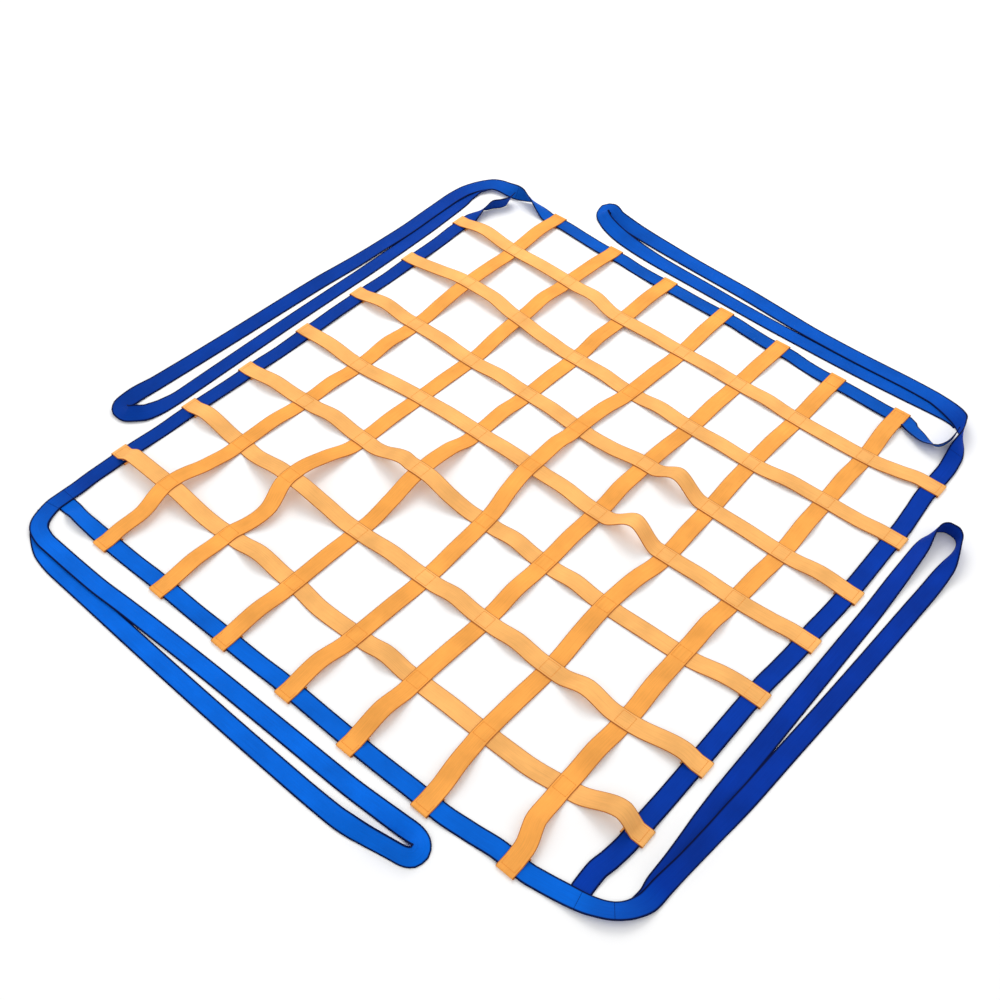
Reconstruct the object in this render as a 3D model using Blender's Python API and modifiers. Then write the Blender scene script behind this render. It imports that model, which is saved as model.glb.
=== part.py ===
"""Cargo lifting net of flat webbing, laid out on the ground.

Fourteen orange straps cross inside a square border of four blue straps.  Each blue strap
makes one side of the border, runs on past the corner and comes back as a long lifting loop
that lies beside the next side.  Metres, +Z up, the ground at z = 0.

The straps called a1 to a7 run along Y and those called b1 to b7 run along X.  The sides of
the border are west (-X), south (-Y), east (+X) and north (+Y).
"""

from bisect import bisect_right
from math import ceil, cos, hypot, pi, radians, sin

import bmesh
import bpy
from mathutils import Matrix, Vector

MM = 0.001

# Driving dimensions, in mm
STRAP_WIDTH = 50
STRAP_THICKNESS = 2.5
PITCH = 225                    # from one orange strap to the next
CELLS = 8                      # meshes along each side of the border
LAYER_GAP = 0.3                # between two straps that lie on each other
LAID_OUT_CENTRE = (-24, 0)     # middle of net and loops together, from the border's middle

HALF_SIDE = PITCH * CELLS / 2
LAYER = STRAP_THICKNESS + LAYER_GAP   # a strap that lies on another is this much higher
GROUND = STRAP_THICKNESS / 2          # height of the middle of a strap on the ground
FLAT = 30                             # straps lie flat this far either side of a crossing
FOLD_STEPS = 6                        # faces round a hem's fold
ORANGE_STEP = 30                      # longest face along an orange strap
BORDER_STEP = 42                      # longest face along the border
LOOP_STEP = 30                        # longest face along a lifting loop

# Which strap is on top where each b strap crosses a1 ... a7
TOP_STRAP = {
    "b1": "bbbbbbb",
    "b2": "bbbabbb",
    "b3": "bbbabbb",
    "b4": "bbbabbb",
    "b5": "bbbaaaa",
    "b6": "aabbbbb",
    "b7": "aaaaaaa",
}

# Height in mm of the crossings that stand clear of the ground
RAISED = {
    ("a1", "b1"): 10,
    ("a2", "b1"): 16,
    ("a3", "b1"): 8,
    ("a1", "b2"): 22,
    ("a2", "b2"): 14,
    ("a5", "b3"): 14,
    ("a4", "b3"): 6,
    ("a4", "b4"): 16,
    ("a5", "b4"): 8,
    ("a3", "b5"): 40,
    ("a2", "b6"): 44,
    ("a1", "b7"): 32,
}

# How far each a strap strays towards +X from its straight line, in mm, at
# the south border, the crossings with b7 ... b1 and the north border
STRAY_A = {
    #     south   b7   b6   b5   b4   b3   b2   b1  north
    "a1": (-9, -23, -14, -5, 4, 4, 6, 0, -5),
    "a2": (-3, -12, -11, 7, 11, 17, 12, 15, 22),
    "a3": (15, 13, 13, 12, 9, 16, 22, 25, 27),
    "a4": (18, 24, 30, 19, -9, -8, 13, 24, 22),
    "a5": (7, 2, 8, 5, 4, 0, 3, 6, 12),
    "a6": (16, -7, -4, -18, 3, -4, -13, -9, -10),
    "a7": (28, -4, -4, -12, -8, -1, -9, -11, -19),
}

# How far each b strap strays towards +Y, in mm, at
# the west border, the crossings with a1 ... a7 and the east border
STRAY_B = {
    #      west   a1   a2   a3   a4   a5   a6   a7  east
    "b1": (40, 33, 20, -2, 5, 1, -8, -9, 14),
    "b2": (10, 26, 8, -5, -11, -13, -14, 1, 5),
    "b3": (0, 13, 5, 8, -5, 2, -1, -5, -2),
    "b4": (-8, -8, 14, 21, 12, 6, 15, 16, 25),
    "b5": (-14, 5, 10, 9, 13, 11, 10, 17, 37),
    "b6": (-1, -3, -19, -11, -5, -2, -3, 4, 22),
    "b7": (-24, -25, -19, -14, -20, -15, -14, 2, 24),
}

# How high the middle of each span stands over the line between its ends, in mm
RISE_A = {
    #     south-b7  b7-b6  b6-b5  b5-b4  b4-b3  b3-b2  b2-b1  b1-north
    "a1": (2, 2, 5, 7, 10, 2, 2, 7),
    "a2": (10, 0, 4, 4, 2, 3, 10, 5),
    "a3": (10, 2, 2, 8, 7, 3, 9, 6),
    "a4": (15, 2, 3, 5, 9, 5, 4, 4),
    "a5": (20, 2, 10, 5, 8, 2, 5, 5),
    "a6": (15, 2, 3, 9, 5, 3, 5, 2),
    "a7": (22, 12, 9, 14, 6, 8, 9, 8),
}
RISE_B = {
    #     west-a1  a1-a2  a2-a3  a3-a4  a4-a5  a5-a6  a6-a7  a7-east
    "b1": (14, 2, 16, 2, 2, 5, 2, 4),
    "b2": (2, 8, 4, 5, 8, 3, 6, 1),
    "b3": (20, 5, 7, 3, 2, 44, 2, 9),
    "b4": (8, 2, 2, 2, 8, 58, 3, 3),
    "b5": (15, 14, 16, 2, 12, 10, 2, 4),
    "b6": (18, 2, 2, 8, 13, 12, 28, 12),
    "b7": (20, 2, 20, 2, 16, 3, 2, 44),
}

# Place of the highest point in the spans where it isn't in the middle, from 0 to 1
HIGHEST_AT = {
    ("b3", 5): 0.48,
    ("b4", 5): 0.54,
    ("b5", 2): 0.84,
    ("b6", 0): 0.35,
    ("b6", 7): 0.76,
    ("b7", 0): 0.30,
    ("b7", 7): 0.72,
}

# Spans that bow sideways, in mm towards +X (a straps) or +Y (b straps)
SIDEWAYS = {
    ("a1", 0): 15,
    ("a1", 1): 9,
    ("a2", 1): 28,
    ("a3", 2): 4,
    ("a7", 0): -6,
    ("b1", 6): -3,
    ("b1", 7): -3,
    ("b2", 0): -3,
    ("b2", 2): -7,
    ("b2", 7): -4,
    ("b3", 4): -9,
    ("b4", 7): -3,
    ("b5", 2): -9,
    ("b5", 3): -7,
    ("b6", 1): -6,
    ("b7", 1): -5,
    ("b7", 3): -8,
    ("b7", 6): -7,
}

# At each hem, distance in mm of the border strap's middle from the net's middle, and how
# far the hem's fold stands off the border strap's edge.  Then the height in mm of the
# border strap halfway from each hem to the next.  All run round the net: b1 ... b7 on the
# west, a1 ... a7 on the south, b7 ... b1 on the east and a7 ... a1 on the north
BORDER_LINE = {
    "west": (905, 898, 898, 896, 897, 900, 902),
    "south": (920, 916, 914, 909, 909, 904, 884),
    "east": (861, 862, 861, 869, 874, 871, 859),
    "north": (864, 870, 884, 898, 902, 914, 929),
}
HEM_SLACK = {
    "west": (2, 2, 2, 2, 2, 2, 2),
    "south": (2, 2, 3, 3, 4, 3, 3),
    "east": (3, 3, 3, 3, 3, 3, 2),
    "north": (3, 2, 2, 2, 2, 2, 2),
}
BORDER_WAVE = {
    "west": (0, 0, 4, 0, 2, 0),
    "south": (0, 0, 0, 2, 2, 0),
    "east": (0, 3, 0, 0, 2, 0),
    "north": (3, 0, 2, 2, 0, 2),
}

# The border straps before their first hem and after their last one.  Each row is one
# section: the place of its middle and the height of its lowest point in mm, and its tilt
# in degrees (the edge on the right, looking along the strap, goes up)
BEFORE_HEMS = {
    "west": [
        #   x     y  height  tilt
        (-866, 912, 8, -48),
        (-855, 888, 3, -65),
        (-866, 860, 1, -70),
        (-882, 838, 1, -70),
        (-893, 805, 2, -50),
        (-901, 770, 2, -20),
    ],
    "south": [
        (-925, -915, 0, 0),
        (-855, -915, 0, 0),
        (-815, -919, 4, 14),
        (-770, -921, 6, 8),
    ],
    "east": [
        (861, -873, 0, 0),
        (850, -824, 0, 0),
        (849, -782, 3, 0),
        (856, -740, 3, 0),
    ],
    "north": [
        (818, 897, 3, -84),
        (818, 880, 2, -81),
        (816, 857, 1, -74),
        (808, 832, 1, -62),
        (789, 818, 1, -44),
        (766, 822, 1, -29),
        (736, 836, 1, -17),
        (703, 850, 2, -12),
    ],
}
AFTER_HEMS = {
    "west": [
        #   x      y  height  tilt
        (-903, -800, 1, 0),
        (-898, -870, 2.8, 0),
        (-898, -930, 2.8, 0),
        (-885, -978, 3.2, 2),
        (-866, -1008, 4, 4),
        (-842, -1022, 4, 4),
        (-800, -1029, 1, 5),
        (-700, -1029, 0, 5),
        (-600, -1028, 0, 5),
        (-480, -1021, 0, 5),
        (-390, -1016, 0, 2),
        (-170, -1006, 0, 0),
        (110, -998, 0, 0),
        (300, -993, 0, 0),
        (400, -987, 0, -4),
        (462, -983, 0, -10),
        (494, -980, 3, -2),
        (514, -983, 4, 12),
        (529, -991, 2, 27),
        (538, -1003, 0, 38),
        (539, -1017, 0, 45),
        (532, -1029, 0, 48),
        (517, -1037, 0, 49),
        (494, -1042, 0, 49),
        (464, -1048, 0, 47),
        (424, -1056, 0, 42),
        (380, -1062, 0, 26),
        (330, -1065, 0, 6),
        (200, -1068, 0, 0),
        (-80, -1070, 0, 0),
        (-320, -1069, 0, 0),
        (-600, -1066, 0, 0),
        (-705, -1065, 0, 0),
        (-770, -1058, 0, 0),
        (-825, -1036, 0, 0),
        (-868, -1006, 0, 0),
        (-896, -965, 0, 0),
    ],
    "south": [
        (775, -877, 1, 0),
        (817, -869, 3, 0),
        (876, -856, 3, 9),
        (911, -843, 3, 17),
        (940, -824, 3, 18),
        (962, -796, 3, 12),
        (975, -760, 3, -4),
        (979, -715, 2, -25),
        (986, -640, 0, -38),
        (992, -550, 0, -34),
        (996, -470, 0, -18),
        (999, -400, 0, -4),
        (1003, -290, 0, 0),
        (1010, -120, 0, 0),
        (1016, 60, 0, 0),
        (1022, 280, 0, 2),
        (1025, 390, 0, 10),
        (1025, 445, 0, 24),
        (1021, 483, 0, 52),
        (1016, 520, 0, 76),
        (1009, 547, 0, 84),
        (989, 566, 0, 92),
        (968, 567, 0, 96),
        (950, 553, 0, 100),
        (943, 530, 0, 110),
        (941, 502, 0, 130),
        (943, 462, 0, 150),
        (945, 400, 0, 160),
        (947, 320, 0, 172),
        (950, 200, 0, 180),
        (951, 20, 0, 184),
        (952, -175, 0, 186),
        (953, -340, 0, 186),
        (953, -430, 0, 184),
        (955, -520, 0, 180),
        (960, -600, 0, 180),
        (963, -660, 0, 180),
        (964, -715, 0, 180),
        (969, -752, 0, 180),
        (967, -782, 0, 180),
    ],
    "east": [
        (859, 760, 2, 0),
        (854, 815, 3, -8),
        (848, 850, 4, -34),
        (842, 882, 4, -64),
        (830, 909, 4, -88),
        (816, 931, 4, -106),
        (799, 954, 4, -130),
        (769, 975, 4, -150),
        (731, 993, 3.5, -166),
        (691, 1004, 3, -174),
        (600, 1008, 3, -176),
        (450, 1007, 3, -176),
        (290, 1011, 3, -176),
        (175, 1020, 0, -171),
        (15, 1034, 0, -170),
        (-150, 1043, 0, -170),
        (-320, 1053, 0, -164),
        (-420, 1060, 0, -158),
        (-476, 1065, 0, -150),
        (-522, 1071, 2, -146),
        (-558, 1083, 7, -148),
        (-577, 1082, 12, -166),
        (-580, 1066, 11, -196),
        (-574, 1050, 5, -218),
        (-555, 1036, 0, -224),
        (-524, 1020, 0, -221),
        (-480, 1006, 0, -212),
        (-430, 996, 0, -204),
        (-350, 987, 0, -194),
        (-265, 982, 0, -187),
        (-100, 976, 0, -183),
        (56, 969, 0, -180),
        (200, 964, 0, -180),
        (450, 961, 0, -180),
        (620, 964, 0, -180),
        (700, 967, 0, -180),
        (750, 968, 0, -180),
        (785, 965, 0, -180),
        (805, 958, 0, -180),
    ],
    "north": [
        (-740, 934, 4, -14),
        (-770, 940, 5, -34),
        (-800, 944, 6, -54),
        (-830, 944, 4, -84),
        (-862, 942, 4, -118),
        (-893, 943, 7, -145),
        (-925, 943, 11, -162),
        (-958, 936, 12, -168),
        (-985, 915, 10, -172),
        (-1006, 885, 8, -174),
        (-1023, 840, 6, -175),
        (-1029, 780, 4, -175),
        (-1028, 690, 3, -176),
        (-1024, 560, 3, -176),
        (-1028, 430, 3, -177),
        (-1031, 340, 1, -173),
        (-1036, 260, 0, -170),
        (-1041, 180, 0, -168),
        (-1046, 50, 0, -168),
        (-1051, -125, 0, -168),
        (-1058, -320, 0, -168),
        (-1063, -450, 0, -166),
        (-1065, -535, 1, -156),
        (-1064, -581, 6, -168),
        (-1049, -602, 6, -192),
        (-1024, -604, 4, -207),
        (-1001, -589, 4, -214),
        (-980, -556, 2, -206),
        (-974, -500, 0, -190),
        (-973, -440, 0, -180),
        (-974, -370, 0, -180),
        (-976, -170, 0, -180),
        (-977, 30, 0, -180),
        (-976, 200, 0, -180),
        (-975, 300, 0, -180),
        (-976, 420, 0, -180),
        (-980, 600, 0, -180),
        (-986, 710, 0, -180),
        (-992, 790, 0, -180),
        (-1000, 845, 1, -178),
        (-999, 880, 4, -176),
        (-984, 912, 6, -174),
    ],
}

WEBBING_COLOURS = {
    #          red   green  blue  roughness
    "orange": (0.90, 0.36, 0.08, 0.75),
    "blue": (0.01, 0.09, 0.55, 0.55),
}


def webbing_material(colour):
    material = bpy.data.materials.new(f"webbing_{colour}")
    material.use_nodes = True
    *rgb, roughness = WEBBING_COLOURS[colour]
    shader = material.node_tree.nodes["Principled BSDF"]
    shader.inputs["Base Color"].default_value = (*rgb, 1)
    shader.inputs["Roughness"].default_value = roughness
    shader.inputs["Metallic"].default_value = 0
    material.diffuse_color = (*rgb, 1)
    return material


def webbing_strap(name, sections, material, collection):
    """A flat strap through its sections, each a middle point and a vector across, in mm."""
    rows = len(sections) - 1
    mesh = bpy.data.meshes.new(name)
    strip = bmesh.new()
    bmesh.ops.create_grid(strip, x_segments=1, y_segments=rows, size=0.5)
    centre = Vector((*LAID_OUT_CENTRE, 0))
    for vertex in strip.verts:
        middle, across = sections[round((vertex.co.y + 0.5) * rows)]
        side = STRAP_WIDTH / 2 if vertex.co.x > 0 else -STRAP_WIDTH / 2
        vertex.co = (middle + side * across - centre) * MM
    strip.to_mesh(mesh)
    strip.free()
    strap = bpy.data.objects.new(name, mesh)
    strap.data.materials.append(material)
    collection.objects.link(strap)
    body = strap.modifiers.new("thickness", "SOLIDIFY")
    body.thickness = STRAP_THICKNESS * MM
    body.offset = 0
    body.use_even_offset = True
    return strap


def smooth(places, values, place):
    """Value at a place on the smooth course through the values, which never overshoots."""
    gaps = [b - a for a, b in zip(places, places[1:])]
    rates = [(b - a) / gap for a, b, gap in zip(values, values[1:], gaps)]
    slopes = [2 * a * b / (a + b) if a * b > 0 else 0.0 for a, b in zip(rates, rates[1:])]
    slopes = [rates[0], *slopes, rates[-1]]
    i = min(max(bisect_right(places, place) - 1, 0), len(gaps) - 1)
    t = (place - places[i]) / gaps[i]
    return (values[i] * (1 + 2 * t) * (1 - t)**2 + gaps[i] * slopes[i] * t * (1 - t)**2
            + values[i + 1] * t**2 * (3 - 2 * t) - gaps[i] * slopes[i + 1] * t**2 * (1 - t))


def divided(places, step):
    """The places with more between them, so that none is further than a step from the next."""
    result = [places[0]]
    for a, b in zip(places, places[1:]):
        count = max(1, ceil((b - a) / step))
        result += [a + (b - a) * k / count for k in range(1, count + 1)]
    return result


def crossing(a, b):
    """Where the middle lines of two orange straps cross."""
    i, j = int(a[1]), int(b[1])
    return (PITCH * i - HALF_SIDE + STRAY_A[a][CELLS - j],
            HALF_SIDE - PITCH * j + STRAY_B[b][i])


def hem_places(side):
    """Where the orange straps end on one side, along that side, going round the net."""
    a_names, b_names = sorted(STRAY_A), sorted(STRAY_B)
    end = -1 if side in ("north", "east") else 0
    if side in ("south", "north"):
        places = [PITCH * int(a[1]) - HALF_SIDE + STRAY_A[a][end] for a in a_names]
    else:
        places = [HALF_SIDE - PITCH * int(b[1]) + STRAY_B[b][end] for b in b_names]
    return places if side in ("south", "west") else places[::-1]


def hem(outwards, across, border_middle, slack):
    """Sections of a strap's end, from over the border strap's outer edge, round and under it."""
    radius = LAYER
    middle_height = GROUND + LAYER
    fold = border_middle + outwards * (STRAP_WIDTH / 2 + slack)
    sections = []
    for k in range(FOLD_STEPS + 1):
        angle = pi * k / FOLD_STEPS
        sections.append((fold + outwards * radius * sin(angle)
                         + Vector((0, 0, middle_height + radius * cos(angle))), across))
    inner_end = border_middle - outwards * FLAT + Vector((0, 0, GROUND))
    return sections + [(inner_end, across)]


def orange_strap(name):
    """Sections of one orange strap, from the south or west hem to the north or east hem."""
    runs_north = name[0] == "a"
    number = int(name[1])
    start_side, end_side = ("south", "north") if runs_north else ("west", "east")
    start_distance = BORDER_LINE[start_side][number - 1]
    end_distance = BORDER_LINE[end_side][CELLS - 1 - number]
    if runs_north:
        partners = [(name, f"b{j}") for j in range(CELLS - 1, 0, -1)]
        stray, rise = STRAY_A[name], RISE_A[name]
        first = (PITCH * number - HALF_SIDE + stray[0], -start_distance)
        last = (PITCH * number - HALF_SIDE + stray[-1], end_distance)
    else:
        partners = [(f"a{i}", name) for i in range(1, CELLS)]
        stray, rise = STRAY_B[name], RISE_B[name]
        first = (-start_distance, HALF_SIDE - PITCH * number + stray[0])
        last = (end_distance, HALF_SIDE - PITCH * number + stray[-1])
    crossings = [crossing(a, b) for a, b in partners]

    def place_and_line(point):
        return (point[1], point[0]) if runs_north else point

    # Middle line in plan
    start, end = place_and_line(first), place_and_line(last)
    line = [start, (start[0] + FLAT, start[1])]
    line += [place_and_line(point) for point in crossings]
    line += [(end[0] - FLAT, end[1]), end]
    points = [start, *line[2:-2], end]
    for span, (near, far) in enumerate(zip(points, points[1:])):
        if (name, span) in SIDEWAYS:
            line.append(((near[0] + far[0]) / 2,
                         (near[1] + far[1]) / 2 + SIDEWAYS[name, span]))
    line_places, line_values = zip(*sorted(line))

    # Middle line in height: flat at each crossing, a rise between
    stops = [(start[0], GROUND + 2 * LAYER)]
    for (a, b), point in zip(partners, crossings):
        on_top = TOP_STRAP[b][int(a[1]) - 1] == name[0]
        lift = RAISED.get((a, b), 0) + (LAYER if on_top else 0)
        stops.append((place_and_line(point)[0], GROUND + lift))
    stops.append((end[0], GROUND + 2 * LAYER))
    heights = [stops[0]]
    for span, ((place_a, height_a), (place_b, height_b)) in enumerate(zip(stops, stops[1:])):
        highest = HIGHEST_AT.get((name, span), 0.5)
        clear_a = place_a + (FLAT if span > 0 else 0)
        clear_b = place_b - (FLAT if span < CELLS - 1 else 0)
        if span > 0:
            heights.append((clear_a, height_a))
        heights.append((clear_a + (clear_b - clear_a) * highest,
                        height_a + (height_b - height_a) * highest + rise[span]))
        if span < CELLS - 1:
            heights.append((clear_b, height_b))
        heights.append((place_b, height_b))
    height_places, height_values = zip(*heights)

    across = Vector((1, 0, 0)) if runs_north else Vector((0, -1, 0))
    sections = []
    for place in divided(height_places, ORANGE_STEP):
        side = smooth(line_places, line_values, place)
        slope = (smooth(line_places, line_values, place + 1)
                 - smooth(line_places, line_values, place - 1)) / 2
        height = smooth(height_places, height_values, place)
        if runs_north:
            middle, direction = Vector((side, place, height)), Vector((slope, 1, 0))
        else:
            middle, direction = Vector((place, side, height)), Vector((1, slope, 0))
        right = Vector((direction.y, -direction.x, 0)).normalized()
        sections.append((middle, right))

    outwards = Vector((0, 1, 0)) if runs_north else Vector((1, 0, 0))
    start_hem = hem(-outwards, across, Vector((*first, 0)),
                    HEM_SLACK[start_side][number - 1])
    end_hem = hem(outwards, across, Vector((*last, 0)),
                  HEM_SLACK[end_side][CELLS - 1 - number])
    return start_hem[::-1] + sections + end_hem


def border_strap(side):
    """Sections of one blue strap: its side of the border, then its lifting loop."""
    along_x = side in ("south", "north")
    forward = 1 if side in ("south", "east") else -1
    outward = -1 if side in ("west", "south") else 1

    rows = list(BEFORE_HEMS[side])
    hems = hem_places(side)
    for k, (place, distance) in enumerate(zip(hems, BORDER_LINE[side])):
        for end in (-FLAT, 0, FLAT):
            point = (place + forward * end, outward * distance)
            rows.append((*(point if along_x else point[::-1]), LAYER, 0))
        if k < len(hems) - 1:
            point = ((place + hems[k + 1]) / 2,
                     outward * (distance + BORDER_LINE[side][k + 1]) / 2)
            rows.append((*(point if along_x else point[::-1]), BORDER_WAVE[side][k], 0))
    border_rows = len(rows)
    rows += AFTER_HEMS[side]

    xs, ys, _, tilts = zip(*rows)
    middles = [height + STRAP_THICKNESS / 2 * abs(cos(radians(tilt)))
               + STRAP_WIDTH / 2 * abs(sin(radians(tilt))) for _, _, height, tilt in rows]
    lengths = [0]
    for (x0, y0, *_), (x1, y1, *_) in zip(rows, rows[1:]):
        lengths.append(lengths[-1] + hypot(x1 - x0, y1 - y0))
    places = (divided(lengths[:border_rows], BORDER_STEP)
              + divided(lengths[border_rows - 1:], LOOP_STEP)[1:])

    sections = []
    for place in places:
        middle = Vector((smooth(lengths, xs, place), smooth(lengths, ys, place),
                         smooth(lengths, middles, place)))
        behind, ahead = max(place - 1, 0), min(place + 1, lengths[-1])
        direction = Vector((smooth(lengths, xs, ahead) - smooth(lengths, xs, behind),
                            smooth(lengths, ys, ahead) - smooth(lengths, ys, behind), 0))
        direction.normalize()
        right = Vector((direction.y, -direction.x, 0))
        tilt = radians(smooth(lengths, tilts, place))
        sections.append((middle, right * cos(tilt) + Vector((0, 0, 1)) * sin(tilt)))
    return sections


for old in list(bpy.data.objects):
    bpy.data.objects.remove(old, do_unlink=True)

net = bpy.data.collections.new("cargo_net")
bpy.context.scene.collection.children.link(net)
orange = webbing_material("orange")
blue = webbing_material("blue")

for strap_name in [*sorted(STRAY_A), *sorted(STRAY_B)]:
    webbing_strap(f"strap_{strap_name}", orange_strap(strap_name), orange, net)
for side_name in BORDER_LINE:
    webbing_strap(f"border_{side_name}", border_strap(side_name), blue, net)
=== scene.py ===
"""Cargo lifting net of flat webbing, laid out on a pale floor and seen from one corner."""

from bisect import bisect_right
from math import ceil, cos, hypot, pi, radians, sin

import bpy
import numpy as np
from mathutils import Matrix, Vector


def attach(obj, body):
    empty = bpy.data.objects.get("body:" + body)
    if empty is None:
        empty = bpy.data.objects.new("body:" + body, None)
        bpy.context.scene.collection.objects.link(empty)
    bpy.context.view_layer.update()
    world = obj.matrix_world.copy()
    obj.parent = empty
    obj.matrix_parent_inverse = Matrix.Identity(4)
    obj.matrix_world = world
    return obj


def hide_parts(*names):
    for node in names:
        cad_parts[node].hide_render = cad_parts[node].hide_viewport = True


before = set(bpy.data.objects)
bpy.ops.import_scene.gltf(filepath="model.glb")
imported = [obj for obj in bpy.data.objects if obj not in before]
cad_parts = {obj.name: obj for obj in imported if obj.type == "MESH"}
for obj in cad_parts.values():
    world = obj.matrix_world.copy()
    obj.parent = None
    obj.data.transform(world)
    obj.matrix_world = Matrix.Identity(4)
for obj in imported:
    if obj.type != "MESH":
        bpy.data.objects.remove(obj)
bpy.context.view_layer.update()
bpy.ops.object.select_all(action="DESELECT")


# ---------------------------------------------------------------------------------------
# Orange straps
# Fourteen lengths of flat polyester webbing make the meshes.  Each is woven with fine ribs
# along its length and a firm selvedge, and is folded under the border at both ends.
# ---------------------------------------------------------------------------------------

# Sizes in mm, as in the solids
METRE = 1000                   # in mm
STRAP_WIDTH = 50
STRAP_THICKNESS = 2.5
ROUNDED_EDGE = 0.9             # bevel along the four edges of a strap
SHARP_EDGE = 60                # smallest angle in degrees of the edges that get it
PITCH = 225                    # from one orange strap to the next
CELLS = 8                      # meshes along each side of the border
LAYER_GAP = 0.3                # between two straps that lie on each other
LAID_OUT_CENTRE = (-24, 0)     # middle of net and loops together, from the border's middle

HALF_SIDE = PITCH * CELLS / 2
LAYER = STRAP_THICKNESS + LAYER_GAP   # a strap that lies on another is this much higher
GROUND = STRAP_THICKNESS / 2          # height of the middle of a strap on the ground
FLAT = 30                             # straps lie flat this far either side of a crossing
FACES_ACROSS = 10                     # faces from one edge of a strap to the other
FOLD_STEPS = 18                       # faces round a hem's fold
ORANGE_STEP = 7                       # longest face along an orange strap

# Which strap is on top where each b strap crosses a1 ... a7
TOP_STRAP = {
    "b1": "bbbbbbb",
    "b2": "bbbabbb",
    "b3": "bbbabbb",
    "b4": "bbbabbb",
    "b5": "bbbaaaa",
    "b6": "aabbbbb",
    "b7": "aaaaaaa",
}

# Height in mm of the crossings that stand clear of the ground
RAISED = {
    ("a1", "b1"): 10,
    ("a2", "b1"): 16,
    ("a3", "b1"): 8,
    ("a1", "b2"): 22,
    ("a2", "b2"): 14,
    ("a5", "b3"): 14,
    ("a4", "b3"): 6,
    ("a4", "b4"): 16,
    ("a5", "b4"): 8,
    ("a3", "b5"): 40,
    ("a2", "b6"): 44,
    ("a1", "b7"): 32,
}

# How far each a strap strays towards +X from its straight line, in mm, at the south
# border, the crossings with b7 ... b1 and the north border
STRAY_A = {
    #     south   b7   b6   b5   b4   b3   b2   b1  north
    "a1": (-9, -23, -14, -5, 4, 4, 6, 0, -5),
    "a2": (-3, -12, -11, 7, 11, 17, 12, 15, 22),
    "a3": (15, 13, 13, 12, 9, 16, 22, 25, 27),
    "a4": (18, 24, 30, 19, -9, -8, 13, 24, 22),
    "a5": (7, 2, 8, 5, 4, 0, 3, 6, 12),
    "a6": (16, -7, -4, -18, 3, -4, -13, -9, -10),
    "a7": (28, -4, -4, -12, -8, -1, -9, -11, -19),
}

# How far each b strap strays towards +Y, in mm, at the west border, the crossings with
# a1 ... a7 and the east border
STRAY_B = {
    #      west   a1   a2   a3   a4   a5   a6   a7  east
    "b1": (40, 33, 20, -2, 5, 1, -8, -9, 14),
    "b2": (10, 26, 8, -5, -11, -13, -14, 1, 5),
    "b3": (0, 13, 5, 8, -5, 2, -1, -5, -2),
    "b4": (-8, -8, 14, 21, 12, 6, 15, 16, 25),
    "b5": (-14, 5, 10, 9, 13, 11, 10, 17, 37),
    "b6": (-1, -3, -19, -11, -5, -2, -3, 4, 22),
    "b7": (-24, -25, -19, -14, -20, -15, -14, 2, 24),
}

# How high the middle of each span stands over the line between its ends, in mm.  A span
# is the stretch of a strap from one crossing to the next, or to the border
RISE_A = {
    #     south-b7  b7-b6  b6-b5  b5-b4  b4-b3  b3-b2  b2-b1  b1-north
    "a1": (2, 2, 5, 7, 10, 2, 2, 7),
    "a2": (10, 0, 4, 4, 2, 3, 10, 5),
    "a3": (10, 2, 2, 8, 7, 3, 9, 6),
    "a4": (15, 2, 3, 5, 9, 5, 4, 4),
    "a5": (20, 2, 10, 5, 8, 2, 5, 5),
    "a6": (15, 2, 3, 9, 5, 3, 5, 2),
    "a7": (22, 12, 9, 14, 6, 8, 9, 8),
}
RISE_B = {
    #     west-a1  a1-a2  a2-a3  a3-a4  a4-a5  a5-a6  a6-a7  a7-east
    "b1": (14, 2, 16, 2, 2, 5, 2, 4),
    "b2": (2, 8, 4, 5, 8, 3, 6, 1),
    "b3": (20, 5, 7, 3, 2, 44, 2, 9),
    "b4": (8, 2, 2, 2, 8, 58, 3, 3),
    "b5": (15, 14, 16, 2, 12, 10, 2, 4),
    "b6": (18, 2, 2, 8, 13, 12, 28, 12),
    "b7": (20, 2, 20, 2, 16, 3, 2, 44),
}

# Place of the highest point in the spans where it isn't in the middle, from 0 to 1, and
# the spans that bow sideways, in mm towards +X (a straps) or +Y (b straps).  A span is
# counted from 0 at the south or west border
HIGHEST_AT = {
    ("b3", 5): 0.48,
    ("b4", 5): 0.54,
    ("b5", 2): 0.84,
    ("b6", 0): 0.35,
    ("b6", 7): 0.76,
    ("b7", 0): 0.30,
    ("b7", 7): 0.72,
}
SIDEWAYS = {
    ("a1", 0): 15,
    ("a1", 1): 9,
    ("a2", 1): 28,
    ("a3", 2): 4,
    ("a7", 0): -6,
    ("b1", 6): -3,
    ("b1", 7): -3,
    ("b2", 0): -3,
    ("b2", 2): -7,
    ("b2", 7): -4,
    ("b3", 4): -9,
    ("b4", 7): -3,
    ("b5", 2): -9,
    ("b5", 3): -7,
    ("b6", 1): -6,
    ("b7", 1): -5,
    ("b7", 3): -8,
    ("b7", 6): -7,
}

# At each hem, distance in mm of the border strap's middle from the net's middle, and how
# far the hem's fold stands off the border strap's edge.  Both run round the net:
# b1 ... b7 on the west, a1 ... a7 on the south, b7 ... b1 on the east and a7 ... a1 on
# the north
BORDER_LINE = {
    "west": (905, 898, 898, 896, 897, 900, 902),
    "south": (920, 916, 914, 909, 909, 904, 884),
    "east": (861, 862, 861, 869, 874, 871, 859),
    "north": (864, 870, 884, 898, 902, 914, 929),
}
HEM_SLACK = {
    "west": (2, 2, 2, 2, 2, 2, 2),
    "south": (2, 2, 3, 3, 4, 3, 3),
    "east": (3, 3, 3, 3, 3, 3, 2),
    "north": (3, 2, 2, 2, 2, 2, 2),
}


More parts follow.
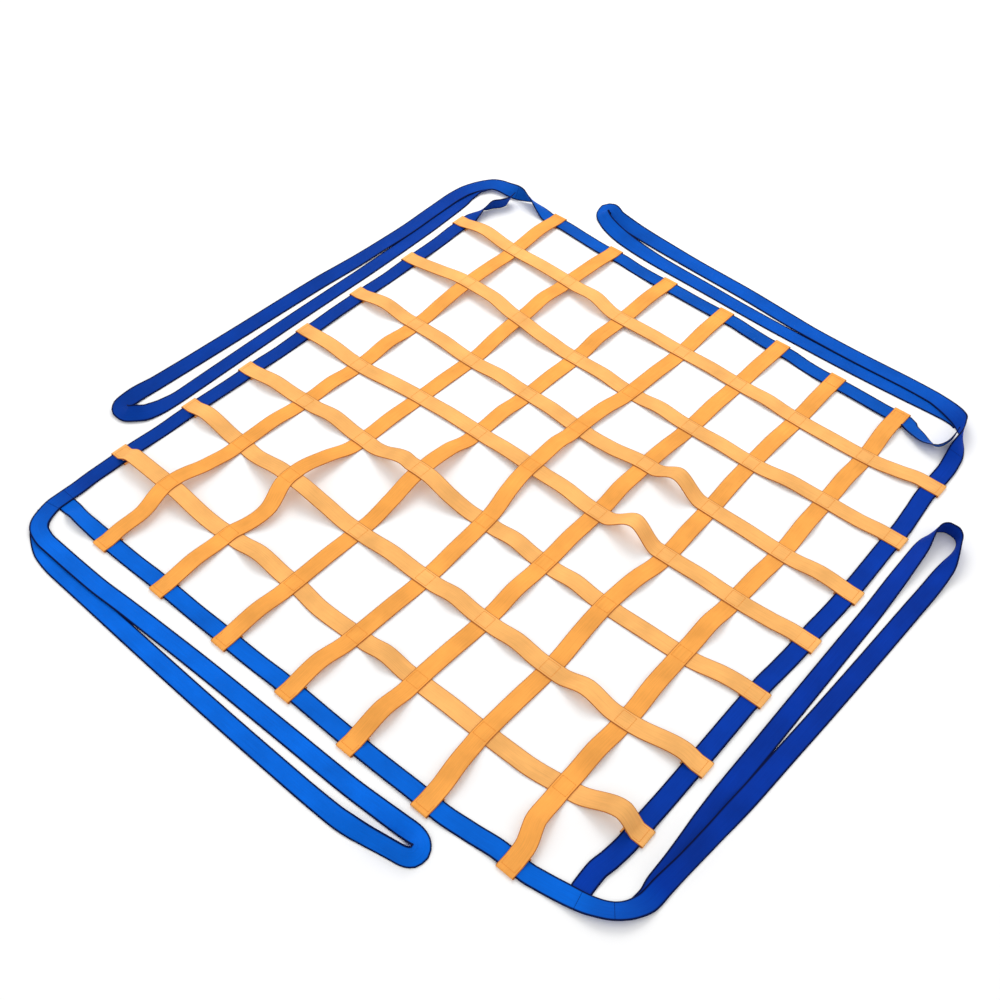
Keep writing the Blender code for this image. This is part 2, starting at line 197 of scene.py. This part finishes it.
def smooth(places, values, place):
    """Value at a place on the smooth course through the values, which never overshoots."""
    gaps = [b - a for a, b in zip(places, places[1:])]
    rates = [(b - a) / gap for a, b, gap in zip(values, values[1:], gaps)]
    slopes = [2 * a * b / (a + b) if a * b > 0 else 0.0 for a, b in zip(rates, rates[1:])]
    slopes = [rates[0], *slopes, rates[-1]]
    i = min(max(bisect_right(places, place) - 1, 0), len(gaps) - 1)
    t = (place - places[i]) / gaps[i]
    return (values[i] * (1 + 2 * t) * (1 - t)**2 + gaps[i] * slopes[i] * t * (1 - t)**2
            + values[i + 1] * t**2 * (3 - 2 * t) - gaps[i] * slopes[i + 1] * t**2 * (1 - t))


def divided(places, step):
    """The places with more between them, each no further than a step from the next."""
    result = [places[0]]
    for a, b in zip(places, places[1:]):
        count = max(1, ceil((b - a) / step))
        result += [a + (b - a) * k / count for k in range(1, count + 1)]
    return result


def crossing(a, b):
    """Where the middle lines of two orange straps cross."""
    i, j = int(a[1]), int(b[1])
    return (PITCH * i - HALF_SIDE + STRAY_A[a][CELLS - j],
            HALF_SIDE - PITCH * j + STRAY_B[b][i])


def hem_places(side):
    """Where the orange straps end on one side, along that side, going round the net."""
    a_names, b_names = sorted(STRAY_A), sorted(STRAY_B)
    end = -1 if side in ("north", "east") else 0
    if side in ("south", "north"):
        places = [PITCH * int(a[1]) - HALF_SIDE + STRAY_A[a][end] for a in a_names]
    else:
        places = [HALF_SIDE - PITCH * int(b[1]) + STRAY_B[b][end] for b in b_names]
    return places if side in ("south", "west") else places[::-1]


def hem(outwards, across, border_middle, slack):
    """Sections of a strap's end, from on top of the border strap, round its edge and under."""
    radius = LAYER
    middle_height = GROUND + LAYER
    fold = border_middle + outwards * (STRAP_WIDTH / 2 + slack)
    sections = []
    for k in range(FOLD_STEPS + 1):
        angle = pi * k / FOLD_STEPS
        sections.append((fold + outwards * radius * sin(angle)
                         + Vector((0, 0, middle_height + radius * cos(angle))), across))
    inner_end = border_middle - outwards * FLAT + Vector((0, 0, GROUND))
    return sections + [(inner_end, across)]


def orange_strap(name):
    """Sections of one orange strap, from the south or west hem to the north or east hem."""
    runs_north = name[0] == "a"
    number = int(name[1])
    start_side, end_side = ("south", "north") if runs_north else ("west", "east")
    start_distance = BORDER_LINE[start_side][number - 1]
    end_distance = BORDER_LINE[end_side][CELLS - 1 - number]
    if runs_north:
        partners = [(name, f"b{j}") for j in range(CELLS - 1, 0, -1)]
        stray, rise = STRAY_A[name], RISE_A[name]
        first = (PITCH * number - HALF_SIDE + stray[0], -start_distance)
        last = (PITCH * number - HALF_SIDE + stray[-1], end_distance)
    else:
        partners = [(f"a{i}", name) for i in range(1, CELLS)]
        stray, rise = STRAY_B[name], RISE_B[name]
        first = (-start_distance, HALF_SIDE - PITCH * number + stray[0])
        last = (end_distance, HALF_SIDE - PITCH * number + stray[-1])
    crossings = [crossing(a, b) for a, b in partners]

    def place_and_line(point):
        """The point as its place along the strap and its place to the side."""
        return (point[1], point[0]) if runs_north else point

    # Middle line in plan
    start, end = place_and_line(first), place_and_line(last)
    line = [start, (start[0] + FLAT, start[1])]
    line += [place_and_line(point) for point in crossings]
    line += [(end[0] - FLAT, end[1]), end]
    points = [start, *line[2:-2], end]
    for span, (near, far) in enumerate(zip(points, points[1:])):
        if (name, span) in SIDEWAYS:
            line.append(((near[0] + far[0]) / 2,
                         (near[1] + far[1]) / 2 + SIDEWAYS[name, span]))
    line_places, line_values = zip(*sorted(line))

    # Middle line in height: flat at each crossing, a rise between
    stops = [(start[0], GROUND + 2 * LAYER)]
    for (a, b), point in zip(partners, crossings):
        on_top = TOP_STRAP[b][int(a[1]) - 1] == name[0]
        lift = RAISED.get((a, b), 0) + (LAYER if on_top else 0)
        stops.append((place_and_line(point)[0], GROUND + lift))
    stops.append((end[0], GROUND + 2 * LAYER))
    heights = [stops[0]]
    for span, (near, far) in enumerate(zip(stops, stops[1:])):
        (place_a, height_a), (place_b, height_b) = near, far
        highest = HIGHEST_AT.get((name, span), 0.5)
        clear_a = place_a + (FLAT if span > 0 else 0)
        clear_b = place_b - (FLAT if span < CELLS - 1 else 0)
        if span > 0:
            heights.append((clear_a, height_a))
        heights.append((clear_a + (clear_b - clear_a) * highest,
                        height_a + (height_b - height_a) * highest + rise[span]))
        if span < CELLS - 1:
            heights.append((clear_b, height_b))
        heights.append((place_b, height_b))
    height_places, height_values = zip(*heights)

    across = Vector((1, 0, 0)) if runs_north else Vector((0, -1, 0))
    sections = []
    for place in divided(height_places, ORANGE_STEP):
        side = smooth(line_places, line_values, place)
        slope = (smooth(line_places, line_values, place + 1)
                 - smooth(line_places, line_values, place - 1)) / 2
        height = smooth(height_places, height_values, place)
        if runs_north:
            middle, direction = Vector((side, place, height)), Vector((slope, 1, 0))
        else:
            middle, direction = Vector((place, side, height)), Vector((1, slope, 0))
        right = Vector((direction.y, -direction.x, 0)).normalized()
        sections.append((middle, right))

    outwards = Vector((0, 1, 0)) if runs_north else Vector((1, 0, 0))
    start_hem = hem(-outwards, across, Vector((*first, 0)),
                    HEM_SLACK[start_side][number - 1])
    end_hem = hem(outwards, across, Vector((*last, 0)),
                  HEM_SLACK[end_side][CELLS - 1 - number])
    return start_hem[::-1] + sections + end_hem


def webbing(name, node, sections, material):
    """A strap of webbing through its sections, with its map in mm: across and along."""
    middles = np.array([middle for middle, _ in sections]) - (*LAID_OUT_CENTRE, 0)
    acrosses = np.array([across for _, across in sections])
    steps = np.linalg.norm(np.diff(middles, axis=0), axis=1)
    places = np.concatenate([[0], np.cumsum(steps)])
    rows = len(places) - 1
    bpy.ops.mesh.primitive_grid_add(x_subdivisions=FACES_ACROSS, y_subdivisions=rows,
                                    size=1)
    strap = bpy.context.object
    strap.name = strap.data.name = name
    mesh = strap.data
    flat = np.empty(len(mesh.vertices) * 3)
    mesh.vertices.foreach_get("co", flat)
    flat = flat.reshape(-1, 3)
    row = np.rint((flat[:, 1] + 0.5) * rows).astype(int)
    aside = flat[:, 0] * STRAP_WIDTH
    points = middles[row] + aside[:, None] * acrosses[row]
    mesh.vertices.foreach_set("co", (points / METRE).ravel())
    corners = np.empty(len(mesh.loops), dtype=int)
    mesh.loops.foreach_get("vertex_index", corners)
    webbing_map = np.column_stack([aside[corners], places[row[corners]]])
    mesh.uv_layers[0].data.foreach_set("uv", webbing_map.ravel())

    thickness = strap.modifiers.new("thickness", "SOLIDIFY")
    thickness.thickness = STRAP_THICKNESS / METRE
    thickness.offset = 0
    thickness.use_even_offset = False
    rounding = strap.modifiers.new("rounding", "BEVEL")
    rounding.width = ROUNDED_EDGE / METRE
    rounding.segments = 2
    rounding.limit_method = "ANGLE"
    rounding.angle_limit = radians(SHARP_EDGE)
    for modifier in list(strap.modifiers):
        bpy.ops.object.modifier_apply(modifier=modifier.name)
    bpy.ops.object.shade_smooth()
    mesh.materials.append(material)
    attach(strap, "root")
    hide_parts(node)


RIB = 1.7                      # from one rib of the weave to the next
PICK = 2.3                     # from one weft thread to the next
WEAVE_DEPTH = 0.4
WEAVE_STRENGTH = 0.35
SPECULAR = 0.05                # polyester yarn has hardly any gloss
CORNER_TONES = (1780, 2000)    # the painted sheen tone changes from the border's to the loop's between these places
PATCHES = 9                    # worn patches to a metre
STREAKS = (0.45, 0.012, 1)     # fine streaks to a mm, across and along the strap
NOISE_SPREAD = (0.3, 0.7)      # the part of a noise's range that its tones are spread over
PATCH_TONES = (0.86, 1.12)
STREAK_TONES = (0.92, 1.06)


def webbing_material(name, colour, selvedge_and_edge_shade, selvedge_and_shade_width, roughness, loop_sheen_tone=None):
    """Ribbed polyester webbing: ribs along it, weft across it, a darker selvedge band that on
    the orange straps is partly painted edge shade, and a colour that carries a painted sheen
    tone.
    """
    material = bpy.data.materials.new(name)
    material.use_nodes = True
    tree = material.node_tree
    nodes, links = tree.nodes, tree.links
    shader = nodes["Principled BSDF"]

    uv = nodes.new("ShaderNodeUVMap")
    uv.uv_map = "UVMap"
    split = nodes.new("ShaderNodeSeparateXYZ")
    links.new(uv.outputs["UV"], split.inputs[0])

    def wave(source, length):
        turns = nodes.new("ShaderNodeMath")
        turns.operation = "MULTIPLY"
        turns.inputs[1].default_value = 2 * pi / length
        links.new(source, turns.inputs[0])
        curve = nodes.new("ShaderNodeMath")
        curve.operation = "SINE"
        links.new(turns.outputs[0], curve.inputs[0])
        return curve.outputs[0]

    def ramp(source, low, high, to_low=0.0, to_high=1.0):
        node = nodes.new("ShaderNodeMapRange")
        node.inputs["From Min"].default_value = low
        node.inputs["From Max"].default_value = high
        node.inputs["To Min"].default_value = to_low
        node.inputs["To Max"].default_value = to_high
        links.new(source, node.inputs["Value"])
        return node.outputs[0]

    def mix(kind, factor, first, second):
        node = nodes.new("ShaderNodeMix")
        node.data_type = "RGBA"
        node.blend_type = kind
        for socket, value in (("Factor", factor), ("A", first), ("B", second)):
            if isinstance(value, bpy.types.NodeSocket):
                links.new(value, node.inputs[socket])
            else:
                node.inputs[socket].default_value = value
        return node.outputs["Result"]

    # Colour: the dye with its painted sheen tone, worn patches and fine streaks, then the
    # darker selvedge bands, partly painted edge shade on the orange straps
    dye_and_sheen = (*colour, 1)
    # Painted sheen: the tone changes along the strap from the border's to the loop's
    if loop_sheen_tone:
        dye_and_sheen = mix("MIX", ramp(split.outputs["Y"], *CORNER_TONES), dye_and_sheen, (*loop_sheen_tone, 1))
    coordinates = nodes.new("ShaderNodeTexCoord")
    patches = nodes.new("ShaderNodeTexNoise")
    patches.inputs["Scale"].default_value = PATCHES
    patches.inputs["Detail"].default_value = 3
    links.new(coordinates.outputs["Object"], patches.inputs["Vector"])
    dye_and_sheen = mix("MULTIPLY", 1.0, dye_and_sheen,
              ramp(patches.outputs["Fac"], *NOISE_SPREAD, *PATCH_TONES))
    stretched = nodes.new("ShaderNodeMapping")
    stretched.inputs["Scale"].default_value = STREAKS
    links.new(uv.outputs["UV"], stretched.inputs["Vector"])
    streaks = nodes.new("ShaderNodeTexNoise")
    streaks.inputs["Scale"].default_value = 1
    streaks.inputs["Detail"].default_value = 4
    links.new(stretched.outputs[0], streaks.inputs["Vector"])
    dye_and_sheen = mix("MULTIPLY", 1.0, dye_and_sheen,
              ramp(streaks.outputs["Fac"], *NOISE_SPREAD, *STREAK_TONES))
    aside = nodes.new("ShaderNodeMath")
    aside.operation = "ABSOLUTE"
    links.new(split.outputs["X"], aside.inputs[0])
    # Darker band along each edge: the selvedge, and on the orange straps partly painted shade
    # at the strap's edges
    edge = ramp(aside.outputs[0], STRAP_WIDTH / 2 - selvedge_and_shade_width,
                STRAP_WIDTH / 2 - selvedge_and_shade_width / 2)
    links.new(mix("MIX", edge, dye_and_sheen, (*selvedge_and_edge_shade, 1)), shader.inputs["Base Color"])

    # Relief: the ribs cross the weft
    weave = nodes.new("ShaderNodeMath")
    weave.operation = "MULTIPLY"
    links.new(wave(split.outputs["X"], RIB), weave.inputs[0])
    links.new(wave(split.outputs["Y"], PICK), weave.inputs[1])
    relief = nodes.new("ShaderNodeBump")
    relief.inputs["Strength"].default_value = WEAVE_STRENGTH
    relief.inputs["Distance"].default_value = WEAVE_DEPTH / METRE
    links.new(weave.outputs[0], relief.inputs["Height"])
    links.new(relief.outputs["Normal"], shader.inputs["Normal"])
    shader.inputs["Roughness"].default_value = roughness
    shader.inputs["Specular IOR Level"].default_value = SPECULAR
    return material


# Painted sheen: the b straps, which run along X, get a lighter orange than the a straps, which
# run along Y, for how light falls on their ribs; all are the same orange webbing
# Orange edge band: partly a darker selvedge, partly painted shade of the strap's edges and
# side faces
ORANGE_SELVEDGE_AND_EDGE_SHADE = (0.42, 0.13, 0.03)
ORANGE_ROUGHNESS = 0.7
for straps, letter, colour in ((STRAY_A, "a", (0.87, 0.365, 0.075)),
                               (STRAY_B, "b", (0.87, 0.43, 0.13))):
    orange_webbing = webbing_material(f"orange_webbing_{letter}", colour,
                                      selvedge_and_edge_shade=ORANGE_SELVEDGE_AND_EDGE_SHADE, selvedge_and_shade_width=2.4,
                                      roughness=ORANGE_ROUGHNESS)
    for strap in straps:
        webbing(f"orange_strap_{strap}", f"strap_{strap}", orange_strap(strap),
                orange_webbing)


STITCH = 4.4                   # length of one stitch
STITCH_PITCH = 5.6             # from one stitch to the next
THREAD = 1.1                   # thickness of the thread
THREAD_SIDES = 6
THREAD_ROUGHNESS = 0.6
SQUARE = 38                    # side of the sewn squares


def stitch_row(length, name):
    """A row of stitches along X, centred, half sunk into the cloth at z = 0."""
    count = round(length / STITCH_PITCH)
    bpy.ops.mesh.primitive_cylinder_add(vertices=THREAD_SIDES, radius=THREAD / 2 / METRE,
                                        depth=STITCH / METRE, rotation=(0, pi / 2, 0))
    bpy.ops.object.transform_apply()
    row = bpy.context.object
    row.name = row.data.name = name
    repeat = row.modifiers.new("repeat", "ARRAY")
    repeat.count = count
    repeat.use_relative_offset = False
    repeat.use_constant_offset = True
    repeat.constant_offset_displace = (STITCH_PITCH / METRE, 0, 0)
    bpy.ops.object.modifier_apply(modifier=repeat.name)
    row.data.transform(Matrix.Translation((-STITCH_PITCH * (count - 1) / 2 / METRE, 0, 0)))
    return row


def joined(pieces, name, material):
    """The pieces as one that lies on the net."""
    bpy.ops.object.select_all(action="DESELECT")
    for piece in pieces:
        piece.select_set(True)
    bpy.context.view_layer.objects.active = pieces[0]
    bpy.ops.object.join()
    seam = bpy.context.object
    seam.name = seam.data.name = name
    seam.data.materials.clear()
    seam.data.materials.append(material)
    bpy.ops.object.shade_smooth()
    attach(seam, "root")
    bpy.ops.object.select_all(action="DESELECT")
    return seam


def thread_material(name, colour):
    """Twisted polyester thread, too thin to show more than its colour and its dullness."""
    material = bpy.data.materials.new(name)
    material.use_nodes = True
    shader = material.node_tree.nodes["Principled BSDF"]
    shader.inputs["Base Color"].default_value = (*colour, 1)
    shader.inputs["Roughness"].default_value = THREAD_ROUGHNESS
    shader.inputs["Specular IOR Level"].default_value = SPECULAR
    return material


# Squares of orange stitches where two orange straps cross and on each hem
sewn_square = []
for turn in range(4):
    side_row = stitch_row(SQUARE, f"square_side_{turn}")
    side_row.data.transform(Matrix.Rotation(turn * pi / 2, 4, "Z")
                            @ Matrix.Translation((0, -SQUARE / 2 / METRE, 0)))
    sewn_square.append(side_row)
orange_thread = thread_material("orange_thread", (0.76, 0.27, 0.04))
pattern = joined(sewn_square, "square_pattern", orange_thread)

square_places = []
for b in STRAY_B:
    for a in STRAY_A:
        x, y = crossing(a, b)
        square_places.append((x, y, GROUND + RAISED.get((a, b), 0) + LAYER))
for side in BORDER_LINE:
    outward = -1 if side in ("west", "south") else 1
    for place, distance in zip(hem_places(side), BORDER_LINE[side]):
        point = (place, outward * distance)
        x, y = point if side in ("south", "north") else point[::-1]
        square_places.append((x, y, GROUND + 2 * LAYER))
squares = []
for x, y, height in square_places:
    bpy.ops.object.select_all(action="DESELECT")
    pattern.select_set(True)
    bpy.context.view_layer.objects.active = pattern
    bpy.ops.object.duplicate()
    square = bpy.context.object
    square.data.transform(Matrix.Translation((
        (x - LAID_OUT_CENTRE[0]) / METRE, (y - LAID_OUT_CENTRE[1]) / METRE,
        (height + STRAP_THICKNESS / 2) / METRE)))
    squares.append(square)
bpy.data.objects.remove(pattern, do_unlink=True)
joined(squares, "orange_stitching", orange_thread)


# ---------------------------------------------------------------------------------------
# Blue border straps with their lifting loops
# Four lengths of the same webbing in blue.  Each is one side of the border and then goes
# on past the corner, out as a long loop and back, and is sewn down where it comes back.
# ---------------------------------------------------------------------------------------

BORDER_STEP = 8                # longest face along a blue strap

# Height in mm of the border strap halfway from each hem to the next, round the net
BORDER_WAVE = {
    "west": (0, 0, 4, 0, 2, 0),
    "south": (0, 0, 0, 2, 2, 0),
    "east": (0, 3, 0, 0, 2, 0),
    "north": (3, 0, 2, 2, 0, 2),
}

# The blue straps before their first hem and after their last one, where each turns its
# corner and makes its loop.  Each row is one section: the place of its middle and the
# height of its lowest point in mm, and its tilt in degrees (the edge on the right, looking
# along the strap, goes up)
BEFORE_HEMS = {
    "west": [
        #   x     y  height  tilt
        (-866, 912, 8, -48),
        (-855, 888, 3, -65),
        (-866, 860, 1, -70),
        (-882, 838, 1, -70),
        (-893, 805, 2, -50),
        (-901, 770, 2, -20),
    ],
    "south": [
        (-925, -915, 0, 0),
        (-855, -915, 0, 0),
        (-815, -919, 4, 14),
        (-770, -921, 6, 8),
    ],
    "east": [
        (861, -873, 0, 0),
        (850, -824, 0, 0),
        (849, -782, 3, 0),
        (856, -740, 3, 0),
    ],
    "north": [
        (818, 897, 3, -84),
        (818, 880, 2, -81),
        (816, 857, 1, -74),
        (808, 832, 1, -62),
        (789, 818, 1, -44),
        (766, 822, 1, -29),
        (736, 836, 1, -17),
        (703, 850, 2, -12),
    ],
}
AFTER_HEMS = {
    "west": [
        #   x      y  height  tilt
        (-903, -800, 1, 0),
        (-898, -870, 2.8, 0),
        (-898, -930, 2.8, 0),
        (-885, -978, 3.2, 2),
        (-866, -1008, 4, 4),
        (-842, -1022, 4, 4),
        (-800, -1029, 1, 5),
        (-700, -1029, 0, 5),
        (-600, -1028, 0, 5),
        (-480, -1021, 0, 5),
        (-390, -1016, 0, 2),
        (-170, -1006, 0, 0),
        (110, -998, 0, 0),
        (300, -993, 0, 0),
        (400, -987, 0, -4),
        (462, -983, 0, -10),
        (494, -980, 3, -2),
        (514, -983, 4, 12),
        (529, -991, 2, 27),
        (538, -1003, 0, 38),
        (539, -1017, 0, 45),
        (532, -1029, 0, 48),
        (517, -1037, 0, 49),
        (494, -1042, 0, 49),
        (464, -1048, 0, 47),
        (424, -1056, 0, 42),
        (380, -1062, 0, 26),
        (330, -1065, 0, 6),
        (200, -1068, 0, 0),
        (-80, -1070, 0, 0),
        (-320, -1069, 0, 0),
        (-600, -1066, 0, 0),
        (-705, -1065, 0, 0),
        (-770, -1058, 0, 0),
        (-825, -1036, 0, 0),
        (-868, -1006, 0, 0),
        (-896, -965, 0, 0),
    ],
    "south": [
        (775, -877, 1, 0),
        (817, -869, 3, 0),
        (876, -856, 3, 9),
        (911, -843, 3, 17),
        (940, -824, 3, 18),
        (962, -796, 3, 12),
        (975, -760, 3, -4),
        (979, -715, 2, -25),
        (986, -640, 0, -38),
        (992, -550, 0, -34),
        (996, -470, 0, -18),
        (999, -400, 0, -4),
        (1003, -290, 0, 0),
        (1010, -120, 0, 0),
        (1016, 60, 0, 0),
        (1022, 280, 0, 2),
        (1025, 390, 0, 10),
        (1025, 445, 0, 24),
        (1021, 483, 0, 52),
        (1016, 520, 0, 76),
        (1009, 547, 0, 84),
        (989, 566, 0, 92),
        (968, 567, 0, 96),
        (950, 553, 0, 100),
        (943, 530, 0, 110),
        (941, 502, 0, 130),
        (943, 462, 0, 150),
        (945, 400, 0, 160),
        (947, 320, 0, 172),
        (950, 200, 0, 180),
        (951, 20, 0, 184),
        (952, -175, 0, 186),
        (953, -340, 0, 186),
        (953, -430, 0, 184),
        (955, -520, 0, 180),
        (960, -600, 0, 180),
        (963, -660, 0, 180),
        (964, -715, 0, 180),
        (969, -752, 0, 180),
        (967, -782, 0, 180),
    ],
    "east": [
        (859, 760, 2, 0),
        (854, 815, 3, -8),
        (848, 850, 4, -34),
        (842, 882, 4, -64),
        (830, 909, 4, -88),
        (816, 931, 4, -106),
        (799, 954, 4, -130),
        (769, 975, 4, -150),
        (731, 993, 3.5, -166),
        (691, 1004, 3, -174),
        (600, 1008, 3, -176),
        (450, 1007, 3, -176),
        (290, 1011, 3, -176),
        (175, 1020, 0, -171),
        (15, 1034, 0, -170),
        (-150, 1043, 0, -170),
        (-320, 1053, 0, -164),
        (-420, 1060, 0, -158),
        (-476, 1065, 0, -150),
        (-522, 1071, 2, -146),
        (-558, 1083, 7, -148),
        (-577, 1082, 12, -166),
        (-580, 1066, 11, -196),
        (-574, 1050, 5, -218),
        (-555, 1036, 0, -224),
        (-524, 1020, 0, -221),
        (-480, 1006, 0, -212),
        (-430, 996, 0, -204),
        (-350, 987, 0, -194),
        (-265, 982, 0, -187),
        (-100, 976, 0, -183),
        (56, 969, 0, -180),
        (200, 964, 0, -180),
        (450, 961, 0, -180),
        (620, 964, 0, -180),
        (700, 967, 0, -180),
        (750, 968, 0, -180),
        (785, 965, 0, -180),
        (805, 958, 0, -180),
    ],
    "north": [
        (-740, 934, 4, -14),
        (-770, 940, 5, -34),
        (-800, 944, 6, -54),
        (-830, 944, 4, -84),
        (-862, 942, 4, -118),
        (-893, 943, 7, -145),
        (-925, 943, 11, -162),
        (-958, 936, 12, -168),
        (-985, 915, 10, -172),
        (-1006, 885, 8, -174),
        (-1023, 840, 6, -175),
        (-1029, 780, 4, -175),
        (-1028, 690, 3, -176),
        (-1024, 560, 3, -176),
        (-1028, 430, 3, -177),
        (-1031, 340, 1, -173),
        (-1036, 260, 0, -170),
        (-1041, 180, 0, -168),
        (-1046, 50, 0, -168),
        (-1051, -125, 0, -168),
        (-1058, -320, 0, -168),
        (-1063, -450, 0, -166),
        (-1065, -535, 1, -156),
        (-1064, -581, 6, -168),
        (-1049, -602, 6, -192),
        (-1024, -604, 4, -207),
        (-1001, -589, 4, -214),
        (-980, -556, 2, -206),
        (-974, -500, 0, -190),
        (-973, -440, 0, -180),
        (-974, -370, 0, -180),
        (-976, -170, 0, -180),
        (-977, 30, 0, -180),
        (-976, 200, 0, -180),
        (-975, 300, 0, -180),
        (-976, 420, 0, -180),
        (-980, 600, 0, -180),
        (-986, 710, 0, -180),
        (-992, 790, 0, -180),
        (-1000, 845, 1, -178),
        (-999, 880, 4, -176),
        (-984, 912, 6, -174),
    ],
}


def border_strap(side):
    """Sections of one blue strap: its side of the border, then its lifting loop."""
    along_x = side in ("south", "north")
    forward = 1 if side in ("south", "east") else -1
    outward = -1 if side in ("west", "south") else 1

    rows = list(BEFORE_HEMS[side])
    hems = hem_places(side)
    for k, (place, distance) in enumerate(zip(hems, BORDER_LINE[side])):
        for end in (-FLAT, 0, FLAT):
            point = (place + forward * end, outward * distance)
            rows.append((*(point if along_x else point[::-1]), LAYER, 0))
        if k < len(hems) - 1:
            point = ((place + hems[k + 1]) / 2,
                     outward * (distance + BORDER_LINE[side][k + 1]) / 2)
            rows.append((*(point if along_x else point[::-1]), BORDER_WAVE[side][k], 0))
    border_rows = len(rows)
    rows += AFTER_HEMS[side]

    xs, ys, _, tilts = zip(*rows)
    middles = [height + STRAP_THICKNESS / 2 * abs(cos(radians(tilt)))
               + STRAP_WIDTH / 2 * abs(sin(radians(tilt))) for _, _, height, tilt in rows]
    lengths = [0]
    for (x0, y0, *_), (x1, y1, *_) in zip(rows, rows[1:]):
        lengths.append(lengths[-1] + hypot(x1 - x0, y1 - y0))
    places = (divided(lengths[:border_rows], BORDER_STEP)
              + divided(lengths[border_rows - 1:], BORDER_STEP)[1:])

    sections = []
    for place in places:
        middle = Vector((smooth(lengths, xs, place), smooth(lengths, ys, place),
                         smooth(lengths, middles, place)))
        behind, ahead = max(place - 1, 0), min(place + 1, lengths[-1])
        direction = Vector((smooth(lengths, xs, ahead) - smooth(lengths, xs, behind),
                            smooth(lengths, ys, ahead) - smooth(lengths, ys, behind), 0))
        direction.normalize()
        right = Vector((direction.y, -direction.x, 0))
        tilt = radians(smooth(lengths, tilts, place))
        sections.append((middle, right * cos(tilt) + Vector((0, 0, 1)) * sin(tilt)))
    return sections


# Painted sheen: the tone of each strap's side of the border and of its loop, lighter where
# that part runs along X and darker where it runs along Y; all four are the same blue webbing
BLUE_SELVEDGE = (0.0, 0.004, 0.045)
BLUE_ROUGHNESS = 0.6
BLUES = {
    "west": ((0.0, 0.037, 0.29), (0.0, 0.125, 0.66)),
    "south": ((0.0, 0.115, 0.60), (0.0, 0.030, 0.305)),
    "east": ((0.0, 0.035, 0.33), (0.0, 0.082, 0.47)),
    "north": ((0.0, 0.079, 0.43), (0.0, 0.037, 0.29)),
}
for side, (colour, loop_sheen_tone) in BLUES.items():
    blue_webbing = webbing_material(f"blue_webbing_{side}", colour,
                                    selvedge_and_edge_shade=BLUE_SELVEDGE, selvedge_and_shade_width=5.5,
                                    roughness=BLUE_ROUGHNESS, loop_sheen_tone=loop_sheen_tone)
    webbing(f"blue_strap_{side}", f"border_{side}", border_strap(side), blue_webbing)

# Rows of dark stitches across the blue straps at the corners, where they are sewn to the
# strap below.  Each is at the section nearest to a point, in the strap's first half
SEAM_MARGIN = 3                # from the end of a row to the edge of the strap
CORNER_SEAMS = {
    "west": [(-898, -890), (-893, -945)],
    "south": [(860, -860), (932, -830)],
    "east": [(852, 835), (846, 880)],
    "north": [(-800, 944), (-862, 942)],
}
seam_rows = []
for side, seams in CORNER_SEAMS.items():
    sections = border_strap(side)
    for seam_x, seam_y in seams:
        nearest = min(range(1, len(sections) // 2), key=lambda k: hypot(
            sections[k][0].x - seam_x, sections[k][0].y - seam_y))
        middle, across = sections[nearest]
        along = (sections[nearest + 1][0] - sections[nearest - 1][0]).normalized()
        up = across.cross(along).normalized()
        if up.z < 0:
            up = -up
        surface = middle - Vector((*LAID_OUT_CENTRE, 0)) + up * STRAP_THICKNESS / 2
        row = stitch_row(STRAP_WIDTH - 2 * SEAM_MARGIN, "corner_row")
        turned = Matrix((across, up.cross(across), up)).transposed().to_4x4()
        row.data.transform(Matrix.Translation(surface / METRE) @ turned)
        seam_rows.append(row)
joined(seam_rows, "blue_stitching", thread_material("blue_thread", (0.0, 0.01, 0.09)))


# ---------------------------------------------------------------------------------------
# Floor, light and camera
# A plain white floor, a broad soft light from behind the net, and an even white sky.
# ---------------------------------------------------------------------------------------

FLOOR_SIZE = 30                # metres, as are all sizes in this section
FLOOR_HEIGHT = -0.0004         # just below the lowest strap
FLOOR_WHITE = (0.9, 0.9, 0.9, 1)
FLOOR_ROUGHNESS = 0.9

bpy.ops.mesh.primitive_plane_add(size=FLOOR_SIZE, location=(0, 0, FLOOR_HEIGHT))
floor = bpy.context.object
floor.name = "floor"
paint = bpy.data.materials.new("floor_white")
paint.use_nodes = True
floor_shader = paint.node_tree.nodes["Principled BSDF"]
floor_shader.inputs["Base Color"].default_value = FLOOR_WHITE
floor_shader.inputs["Roughness"].default_value = FLOOR_ROUGHNESS
floor.data.materials.append(paint)

sky = bpy.data.worlds.new("sky")
sky.use_nodes = True
background = sky.node_tree.nodes["Background"]
background.inputs["Color"].default_value = (1, 1, 1, 1)
background.inputs["Strength"].default_value = 1.0
bpy.context.scene.world = sky

KEY_PLACE = (-1.6, 2.0, 3.2)
KEY_SIZE = 2.2
KEY_POWER = 60                 # watts

bpy.ops.object.light_add(type="AREA", location=KEY_PLACE)
key = bpy.context.object
key.name = "key_light"
key.data.shape = "DISK"
key.data.size = KEY_SIZE
key.data.energy = KEY_POWER
key.rotation_euler = (-key.location).to_track_quat("-Z", "Y").to_euler()

CAMERA_PLACE = (1.4295, -1.7283, 2.4921)
CAMERA_DIRECTION = (-0.4292, 0.4882, -0.7599)
SENSOR_WIDTH = 36              # mm
FOCAL_LENGTH = 43.35           # mm
FARTHEST_SEEN = 50

bpy.ops.object.camera_add(location=CAMERA_PLACE)
camera = bpy.context.object
camera.rotation_euler = Vector(CAMERA_DIRECTION).to_track_quat("-Z", "Y").to_euler()
camera.data.sensor_width = SENSOR_WIDTH
camera.data.lens = FOCAL_LENGTH
camera.data.clip_end = FARTHEST_SEEN
bpy.context.scene.camera = camera
bpy.context.scene.view_settings.view_transform = "Standard"
